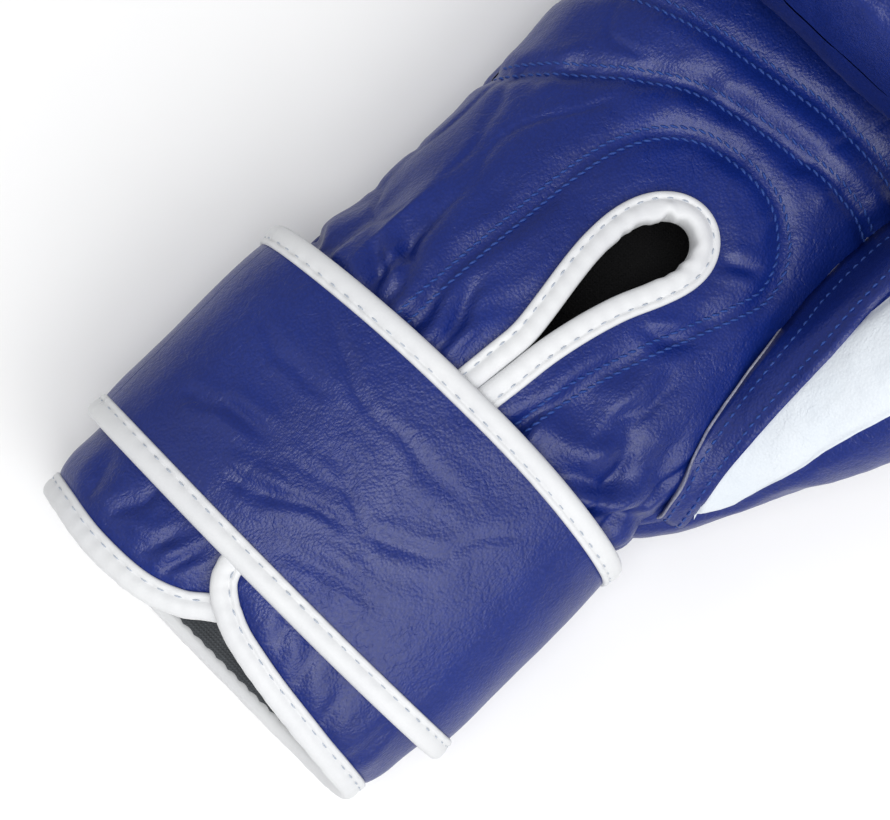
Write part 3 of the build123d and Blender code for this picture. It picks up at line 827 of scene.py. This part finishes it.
hem_tape = tape_along("hem_and_slit_binding", edge_base, edge_outward, edge_normals,
                      flap_wall(route_angle), np.full(len(route_hem), 0.15))
vent_tape = tape_along("vent_binding_tape", vent_base, vent_outward, vent_normals,
                       np.full(len(vent_base), 6.0), ramp(vent_base[:, 1], 138, 156))
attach(hem_tape, "glove")
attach(vent_tape, "glove")
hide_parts("hem_binding", "cuff_slit_binding")
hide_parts("vent_binding")


def stitch_row(base, outward, normals, rise=0.8):
    """Where the stitches of a tape go: rise is their height above the leather's edge line."""
    return base + outward * STITCH_AT + normals * rise, normals


edge_row = stitch_row(edge_base, edge_outward, edge_normals)
vent_row = stitch_row(vent_base, vent_outward, vent_normals)
edge_stitches = stitches("hem_binding_stitches", [edge_row], white_stitch_thread_painted_shade, pitch=4.4, length=2.1)
vent_stitches = stitches("vent_binding_stitches", [vent_row], white_stitch_thread_painted_shade, pitch=3.8, length=1.9)

# ---------------------------------------- cuff
TOP_HEM = 98.0              # the cuff's leather runs on under the mitt's gathers
MITT_OVERLAP_DEPTH = 5.0    # how far it goes down under them
PATCH_FROM = 60.0           # hem length on both sides of the slit where the ruled patch starts


def cuff_patch(columns, rows, tuck):
    """Angles and hem lengths of a ruled patch from tuck inside the hem edge up to the wrist."""
    first = int(np.argmin(np.abs(route_hem[:300] - PATCH_FROM)))
    last = len(route_hem) - int(np.argmin(np.abs(route_hem[::-1][:300] - PATCH_FROM)))
    pick = np.linspace(first, last - 1, columns)
    low_angle = np.interp(pick, np.arange(len(route_angle)), route_angle)
    low_hem = np.interp(pick, np.arange(len(route_hem)), route_hem)
    top_angle = np.linspace(angle_of(2.2, TOP_HEM), angle_of(6.2, TOP_HEM) - 360, columns)
    v = np.linspace(0, 1, rows)[:, None]
    angle = low_angle[None] * (1 - v) + top_angle[None] * v
    hem = (low_hem[None] + tuck) * (1 - v) + TOP_HEM * v
    return angle, hem


def cuff_surface(name, material, below, flip):
    """The cuff's leather, or its lining where below is the share of the wall that is over it."""
    angle, hem = cuff_patch(columns=560, rows=84, tuck=2.0 if below else 0.0)
    flat_angle, flat_hem = angle.reshape(-1), hem.reshape(-1)
    base, normals = shell_at(flat_angle, flat_hem)
    depth = flap_wall(flat_angle) * below
    relief = cuff_relief(base) * (0.3 if below else 1.0)
    under_mitt = -MITT_OVERLAP_DEPTH * ramp(flat_hem, 82, 92)
    route = np.stack([route_angle * MM_PER_DEGREE, route_hem], 1)[::3]
    edge_gap = distance_to(np.stack([flat_angle * MM_PER_DEGREE, flat_hem], 1), route)
    under_tape = ramp(edge_gap, 3.0, 7.5)
    puffed = (relief + 0.7 * bump(edge_gap - 11, 5)) * under_tape - 1.0 * (1 - under_tape)
    height = flap_lift(flat_angle, flat_hem) + puffed + under_mitt - depth
    grid = (base + normals * height[:, None]).reshape(angle.shape + (3,))
    return grid_piece(name, grid, material, flip=flip, above=0.3)


cuff = cuff_surface("cuff_leather_shell", blue, 0.0, False)
cuff_inside = cuff_surface("cuff_lining_sleeve", lining, 0.93, True)
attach(cuff, "glove")
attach(cuff_inside, "glove")
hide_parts("cuff_leather", "cuff_foam")
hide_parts("cuff_lining")

# ---------------------------------------- hand and thumb lining
HAND = np.array([
    (0.5, 80.0, 36.8, 47.0, 24.2, 0.0),
    (2.5, 104.0, 38.0, 45.0, 22.5, 0.0),
    (4.0, 125.0, 38.6, 44.0, 20.5, 0.0),
    (3.5, 150.0, 37.5, 43.0, 18.5, 0.0),
    (1.5, 185.0, 34.5, 42.5, 16.0, 0.0),
    (0.0, 214.0, 32.0, 43.0, 13.0, 0.0),
    (0.0, 236.0, 36.0, 43.0, 11.5, 0.0),
    (0.0, 253.3, 44.7, 43.0, 11.0, 45.0),
    (0.0, 260.0, 62.0, 43.0, 11.0, 90.0),
    (0.0, 253.3, 79.3, 43.0, 11.0, 135.0),
    (0.0, 236.0, 86.5, 42.0, 11.0, 180.0),
    (0.0, 226.0, 86.5, 38.0, 9.0, 180.0),
])
PALM_LINING_Z = 45.0        # the sleeve's palm side is above this height


def hand_sleeve():
    """The tube of cloth round the hand, cut out under the vent."""
    rows = rows_by_length(HAND, 2.5)
    angles = np.linspace(0, 360, 97)[:-1]
    grid = tube_points(spline_rows(HAND, rows), angles)
    dents = 0.8 * lattice_noise(grid.reshape(-1, 3), 12, 31).reshape(grid.shape[:2] + (1,))
    grid = grid - grid_normals(grid, wrap_columns=True) * dents
    centres = 0.5 * (grid[:-1] + grid[1:])
    keep = ~(near_opening(centres, 6.0) & (centres[:, :, 2] > PALM_LINING_Z))
    return grid_piece("hand_lining_sleeve", grid, hand_cloth, keep=keep, wrap_columns=True)


hand_inside = hand_sleeve()
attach(hand_inside, "glove")
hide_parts("hand_lining", "thumb_lining")

# ---------------------------------------- thumb
# x, hem, z, half width, half height of the thumb's sections, square to its own line.
THUMB = np.array([
    (45.0, 98.0, 35.5, 9.0, 12.0),
    (53.5, 115.0, 36.5, 13.0, 15.5),
    (58.0, 129.0, 41.0, 15.0, 16.5),
    (65.5, 151.0, 50.0, 18.5, 19.5),
    (71.5, 172.0, 60.0, 21.0, 21.5),
    (73.5, 193.0, 69.5, 22.0, 22.0),
    (73.0, 213.0, 77.0, 20.0, 20.5),
    (71.5, 227.0, 82.0, 16.0, 16.5),
    (70.5, 235.0, 84.5, 10.5, 11.0),
])
# The white panel's two edges round the thumb, in degrees, at hem lengths along it.
WHITE_AT = [117.5, 121, 127, 137, 151, 167, 200, 240]
WHITE_FROM = [32, 27, 20, 34, 52, 60, 62, 62]
WHITE_TO = [32, 56, 76, 98, 118, 132, 138, 138]
THUMB_CAP = 3.5             # how far its tip is rounded past the last section
THUMB_MM_PER_DEGREE = 0.35  # arc length of a degree round the thumb


def thumb_sections():
    """Centres, half widths and half heights down the thumb, with a rounded cap at its tip."""
    length = walked_length(THUMB[:, :3])
    rows = np.interp(np.arange(0, length[-1], 1.2), length, np.arange(len(THUMB)))
    sections = list(spline_rows(THUMB, rows))
    along = unit(np.gradient(smooth_rows(np.array(sections)[:, :3], 3), axis=0))
    last, step = sections[-1], unit(THUMB[-1, :3] - THUMB[-2, :3])
    for share in CAP_SHARES:
        tip = last.copy()
        tip[:3] += step * THUMB_CAP * sin(share * pi / 2)
        tip[3:5] *= max(cos(share * pi / 2), CAP_LEAST)
        sections.append(tip)
    along = np.vstack([along] + [along[-1:]] * len(CAP_SHARES))
    return np.array(sections), along


def thumb_panel(name, first, last, material):
    """One leather panel of the thumb, between two angles that change down its length."""
    sections, along = thumb_sections()
    share = np.linspace(0, 1, 90)[None]
    first, last = [np.interp(sections[:, 1], WHITE_AT, edge)[:, None] for edge in (first, last)]
    angles = np.radians(first * (1 - share) + last * share)
    side = unit(np.cross(along, (0.0, 0.0, 1.0)))
    up = np.cross(side, along)
    grid = (sections[:, None, :3] + side[:, None] * (sections[:, 3, None] * np.cos(angles))[:, :, None]
            + up[:, None] * (sections[:, 4, None] * np.sin(angles))[:, :, None])
    flat = grid.reshape(-1, 3)
    seam_gap = (np.minimum(share, 1 - share) * (last - first) * THUMB_MM_PER_DEGREE).reshape(-1)
    relief = 0.7 * lattice_noise(flat, 18, 41) + 0.35 * lattice_noise(flat * (1, 0.4, 1), 6, 42)
    relief = relief + 0.12 * lattice_noise(flat, 2.4, 43) - 1.3 * bump(seam_gap, 2.2)
    piece = grid_piece(name, raised(grid, relief), material, flip=True)
    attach(piece, "glove")
    return piece


thumb_top = thumb_panel("thumb_white_panel", WHITE_FROM, WHITE_TO, white)
thumb_under = thumb_panel("thumb_blue_panel", WHITE_TO, [a + 360 for a in WHITE_FROM], blue)
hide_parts("thumb_palm_leather")
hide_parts("thumb_outer_leather", "thumb_foam")

# The seam band between the palm and the thumb, from the wrist towards the fist.
BAND_LEFT = [(58.0, 103.5), (56.8, 108), (55.4, 112), (54.0, 117), (52.6, 122), (51.2, 130), (49.4, 142),
             (47.9, 158), (46.6, 173), (46.8, 187), (48.5, 200), (50, 210)]
BAND_WIDTH = [7.0, 8.0, 8.8, 9.4, 10.0, 10.4, 10.8, 11.0, 11.0, 11.0, 10.5, 9.5]
BAND_THICK = [1.5, 1.35, 1.0, 1.15, 1.3, 1.25, 1.0, 1.1, 0.9]   # across it, low at its rows of stitches
BAND_STITCH_COLUMNS = (2, 6)


def seam_band():
    """The band's middle surface, dropped on the glove and eased over the hollows, and its normals."""
    left = smooth_curve(BAND_LEFT, 200)
    width = np.interp(np.linspace(0, 1, 200), np.linspace(0, 1, len(BAND_WIDTH)), BAND_WIDTH)
    ground = surface_tree(palm, back, thumb_top, thumb_under)
    rightward = beside(left, -1.0) - left
    across = []
    for share in np.linspace(0, 1, len(BAND_THICK)):
        points, _, met = drop_onto(ground, left + rightward * (width * share)[:, None])
        if across:
            points[~met] = across[-1][~met] - (0.0, 0.0, 1.0)
        across.append(points)
    grid = np.stack([smooth_rows(points, 5) for points in across], 1)
    for _ in range(6):
        grid[:, 1:-1, 2] = np.maximum(0.5 * (grid[:, :-2, 2] + grid[:, 2:, 2]), grid[:, 1:-1, 2])
    normals = grid_normals(grid)
    normals *= np.sign(normals[:, :, 2:3])
    return grid, normals


band_grid, band_normals = seam_band()
BAND_SUNK = 1.5             # how far its underside goes into the padding
RAW_EDGE = [(0.3, -0.9), (0.35, 0.0), (0.15, 0.2), (-0.2, 0.18), (-0.4, 0.0), (-0.3, -0.9)]


def make_band():
    """The band and its raw edge; gives the band's upper side, for the stitches."""
    rise = BAND_THICK + 0.25 * lattice_noise(band_grid.reshape(-1, 3), 7, 51).reshape(band_grid.shape[:2])
    rise = rise - 2.5 * (1 - ramp(np.arange(len(band_grid)), 0, 8))[:, None]
    upper = band_grid + band_normals * rise[:, :, None]
    lower = band_grid - band_normals * BAND_SUNK
    piece = tube_piece("thumb_seam_band", np.concatenate([upper, lower[:, ::-1]], axis=1), blue)
    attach(piece, "glove")
    rim = upper[:, 0] + band_normals[:, 0] * 0.1
    inward = unit(upper[:, 1] - upper[:, 0])
    edge = sweep("thumb_seam_raw_edge", rim, -inward, band_normals[:, 0], RAW_EDGE, blue_edge)
    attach(edge, "glove")
    return upper


band_top = make_band()

# ---------------------------------------- blue seams
ground = surface_tree(palm)


def double_row(line):
    """Two rows of stitches beside a plan line, dropped on the palm."""
    rows = []
    for offset in (-STITCH_GAP / 2, STITCH_GAP / 2):
        points, normals, met = drop_onto(ground, beside(line, offset))
        flat_enough = met & (normals[:, 2] > 0.25)
        rows.append((smooth_rows(points[flat_enough], 2), normals[flat_enough]))
    return rows


palm_rows_of_stitches = double_row(vent_loop) + double_row(knuckle_arc) + double_row(fold_arc)
palm_seams = stitches("palm_seam_stitches", palm_rows_of_stitches, blue_thread,
                      pitch=2.35, length=2.5, width=0.36, height=0.36, lean=0.3)
band_rows = [(band_top[:, column], band_normals[:, column]) for column in BAND_STITCH_COLUMNS]
band_seams = stitches("thumb_band_stitches", band_rows, blue_thread,
                      pitch=2.6, length=2.0, width=0.36, height=0.3, lean=0.15)
for piece in (palm_seams, band_seams, edge_stitches, vent_stitches):
    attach(piece, "glove")

# ---------------------------------------- wrist strap
ANCHOR_END, FOLD_SPLIT, TAB_END = 238.0, 160.0, -104.0
STRAP_STEP, STRAP_TAPE_STEP = 0.55, 0.4     # degrees between rows
UNDER_TAPE = 3.5            # how far inside the strap's edges its leather ends, under the tapes


def strap_edge(angle, upper):
    """Hem length of the strap's two edges; both bow out a little over the palm."""
    over_palm = bump(angle - 80, 46)
    return STRAP_TO + 1.0 + 2.6 * over_palm if upper else STRAP_FROM - 0.8 * over_palm


def ring_point(angle, hem, out):
    """Point on the strap's oval, out millimetres beyond its outer face."""
    x, y = superellipse(angle)
    place = (STRAP_HALF_WIDTH + out) * x, hem, WRIST_Z + (STRAP_HALF_HEIGHT + out) * y
    return np.stack(np.broadcast_arrays(*place), -1)


def ring_tangent(angle):
    """Direction round the strap's oval, towards greater angles."""
    return unit(ring_point(angle + 0.5, 0.0, 0.0) - ring_point(angle - 0.5, 0.0, 0.0))


def ring_normal(angle):
    """Direction out of the strap's oval."""
    return ring_tangent(angle)[:, [2, 1, 0]] * (1, 1, -1)


def steps_between(first, last, step):
    """Angles from first to last, both included."""
    angles = np.arange(first, last + 1e-6, step)
    angles[-1] = last
    return angles


STRAP_FOLDS = [((-22, 37), (-8, 44), 0.55, 1.9), ((-12, 42), (6, 50), 0.5, 1.8),
               ((-36, 51), (-21, 50), 0.6, 2.2), ((-31, 79), (-2, 71), 0.25, 1.8),
               ((-3, 72), (25, 73), 0.25, 1.9), ((12, 52), (28, 61), 0.32, 1.9),
               ((26, 59), (35, 81), 0.22, 2.0), ((-41, 68), (-18, 70), 0.25, 1.6),
               ((2, 36), (25, 43), 0.35, 2.0), ((-9, 61), (10, 52), 0.22, 1.6),
               ((-46, 44), (-32, 49), 0.4, 2.0), ((-15, 52), (-1, 57), 0.25, 1.5)]


def strap_creases(points):
    """Soft dents and thin crease lines of a strap that has been bent often."""
    soft = 0.45 * lattice_noise(points, 26, 61) + 0.18 * lattice_noise(points, 9, 62)
    soft += folds_relief(points, STRAP_FOLDS, points[:, 2] > WRIST_Z)
    leaning = points @ np.array(((0.9, 0.35, 0.0), (-0.35, 0.5, 0.0), (0.0, 0.0, 0.9)))
    creased = ramp(lattice_noise(points, 20, 69), 0.0, 0.45)
    return soft - 0.12 * creased * bump(lattice_noise(leaning, 9, 64), 0.05)


def strap_piece(name, first, last):
    """The strap's leather over a range of angles, crowned outside and plain inside."""
    angles = steps_between(first, last, STRAP_STEP)[:, None]
    normals = ring_normal(angles[:, 0])
    across = np.linspace(0, 1, 56)
    low, high = strap_edge(angles, False) + UNDER_TAPE, strap_edge(angles, True) - UNDER_TAPE
    hems = low + (high - low) * across
    grid = ring_point(angles, hems, 0.0)
    crown = 0.9 * (1 - (2 * across - 1) ** 4)
    relief = strap_creases(grid.reshape(-1, 3)).reshape(hems.shape) + crown - 0.5
    outer = grid + normals[:, None] * relief[:, :, None]
    inner = ring_point(angles, hems[:, [55, 42, 28, 14, 0]], 0.1 - STRAP_THICK)
    piece = tube_piece(name, np.concatenate([outer, inner], axis=1), blue, above=0.1)
    return piece


# Inward and up of the tape over the strap's edges and its end; points 3 to 6 are its stitch line.
STRAP_TAPE = [(6.1, -0.7), (6.45, 0.1), (6.2, 0.7), (5.5, 0.95), (5.1, 0.85), (4.8, 0.55), (4.4, 0.85),
              (3.4, 1.25), (2.0, 1.35), (0.8, 1.0), (0.05, 0.2), (-0.15, -1.0), (0.0, -2.6), (0.9, -3.7),
              (3.0, -4.0), (6.0, -3.9)]


def strap_tape(name, first, last, upper):
    """The tape along one edge of the strap, and the row where its stitches go."""
    angles = steps_between(first, last, STRAP_TAPE_STEP)
    base = ring_point(angles, strap_edge(angles, upper), 0.0)
    normals = ring_normal(angles)
    inward = np.tile((0.0, -1.0 if upper else 1.0, 0.0), (len(angles), 1))
    out, up = profile_rows(STRAP_TAPE, len(angles))
    up[:, 3:7] += 0.12 * np.cos(walked_length(base) * 2 * pi / STRAP_DIMPLE_PITCH)[:, None]
    piece = tube_piece(name, profile_grid(base, inward, normals, out, up), tape, flip=upper,
                       above=TAPE_CLEARANCE)
    return piece, stitch_row(base, inward, normals, rise=0.62)


def make_strap():
    """The strap in two lengths, split where the fold on the little-finger side ends.

    Each length is a list: its leather, its hem tape, its wrist tape and their stitches.
    """
    spans = {"fold": (FOLD_SPLIT, ANCHOR_END), "wrap": (TAB_END + 2.5, FOLD_SPLIT)}
    made = {}
    for part, (first, last) in spans.items():
        pieces = [strap_piece(f"wrist_strap_{part}", first, last)]
        threads = []
        for edge, upper in (("hem", False), ("wrist", True)):
            piece, row = strap_tape(f"strap_{part}_{edge}_binding", first, last, upper)
            pieces.append(piece)
            threads.append(row)
        sewn = stitches(f"strap_{part}_binding_stitches", threads, white_stitch_thread_painted_shade, pitch=4.5, length=2.2)
        pieces.append(sewn)
        made[part] = pieces
    return made


def make_end_tape(angle):
    """The tape folded over the strap's free end."""
    hems = np.linspace(strap_edge(angle, False) + 0.4, strap_edge(angle, True) - 0.4, 40)
    angles = np.full(len(hems), angle)
    piece = sweep("strap_end_binding", ring_point(angles, hems, 0.0), ring_tangent(angles),
                  ring_normal(angles), STRAP_TAPE, tape)
    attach(piece, "tab")
    return piece


def fastener(name, span, inner, outer, material):
    """A flat panel of hook or loop tape, bent round the cuff between the strap's edge tapes."""
    angles = np.linspace(*span, 60)
    low, high = STRAP_FROM + STITCH_AT + 1.0, STRAP_TO - STITCH_AT - 1.0
    corners = ((low, outer), (high, outer), (high, inner), (low, inner))
    grid = np.stack([ring_point(angles, hem, out) for hem, out in corners], 1)
    return tube_piece(name, grid, material, smooth=False)


strap = make_strap()
end_tape = make_end_tape(TAB_END + 2.0)
hooks = fastener("hook_tape_panel", (-96.0, -52.0), -4.4, -3.6, hook_tape)
loops = fastener("loop_tape_panel", (-119.0, -44.0), -6.2, -4.7, loop_tape)
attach(hooks, "tab")
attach(loops, "glove")
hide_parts("tab_end_binding")
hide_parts("hook_panel")
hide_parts("loop_panel")
for piece in strap["fold"]:
    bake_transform(piece)
for piece in strap["wrap"]:
    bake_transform(piece)
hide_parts("anchor_cover", "anchor_backing")
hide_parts("anchor_hem_binding")
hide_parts("anchor_wrist_binding")
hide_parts("strap_cover", "strap_padding", "strap_backing", "tab_cover", "tab_padding")
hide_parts("strap_hem_binding", "tab_hem_binding")
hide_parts("strap_wrist_binding", "tab_wrist_binding")

# ---------------------------------------- stage, light and camera
CAMERA_AT = (24.7, 32.9, 584.3)     # hem millimetres
CAMERA_TILT = (5.8, -2.37, 44.85)   # degrees
FOCAL_LENGTH = 2200.0 / 890.0       # in picture widths
SENSOR = 36.0
FLOOR_HALF, FLOOR_Z = 3000.0, -0.2
WORLD_STRENGTH = 0.44


def make_camera():
    """The camera that the picture is taken with."""
    data = bpy.data.cameras.new("camera")
    data.sensor_width = SENSOR
    data.lens = FOCAL_LENGTH * SENSOR
    data.clip_end = 50
    camera = link_object("camera", data)
    camera.location = to_row(CAMERA_AT)
    camera.rotation_euler = [radians(a) for a in CAMERA_TILT]
    bpy.context.scene.camera = camera


def area_light(name, at, look, size, power):
    """A round lamp; places and size are in metres, in the row frame."""
    data = bpy.data.lights.new(name, "AREA")
    data.shape = "DISK"
    data.size = size
    data.energy = power
    light = link_object(name, data)
    light.location = at
    light.rotation_euler = (Vector(look) - Vector(at)).to_track_quat("-Z", "Y").to_euler()


def make_floor():
    """A pale matt floor, just under the glove."""
    n = Nodes("pale_floor")
    speck = n.noise(60.0)
    colour = n.grey(speck, (0.3, 0.93), (0.7, 0.95))
    material = n.finish(colour, n.grey(speck, (0.3, 0.8), (0.7, 0.85)), n.bump(speck, 0.05, 0.1))
    corners = [(x * FLOOR_HALF, y * FLOOR_HALF, FLOOR_Z) for x, y in ((-1, -1), (1, -1), (1, 1), (-1, 1))]
    floor = new_mesh("floor", corners, [(0, 1, 2, 3)], material, above=FLOOR_Z)


def make_light():
    """An even white surround with three soft lamps."""
    world = bpy.data.worlds.new("studio")
    world.use_nodes = True
    background = world.node_tree.nodes["Background"]
    background.inputs["Color"].default_value = (1, 1, 1, 1)
    background.inputs["Strength"].default_value = WORLD_STRENGTH
    bpy.context.scene.world = world
    area_light("key", (0.85, -0.35, 1.1), look=(0, -0.08, 0.03), size=1.1, power=10)
    area_light("overhead", (0.12, -0.35, 1.5), look=(0, -0.1, 0.03), size=0.7, power=8.5)
    area_light("fill", (-1.0, -0.5, 1.1), look=(0, -0.08, 0.03), size=1.0, power=1.5)
    bpy.context.scene.view_settings.view_transform = "Standard"


make_camera()
make_floor()
make_light()
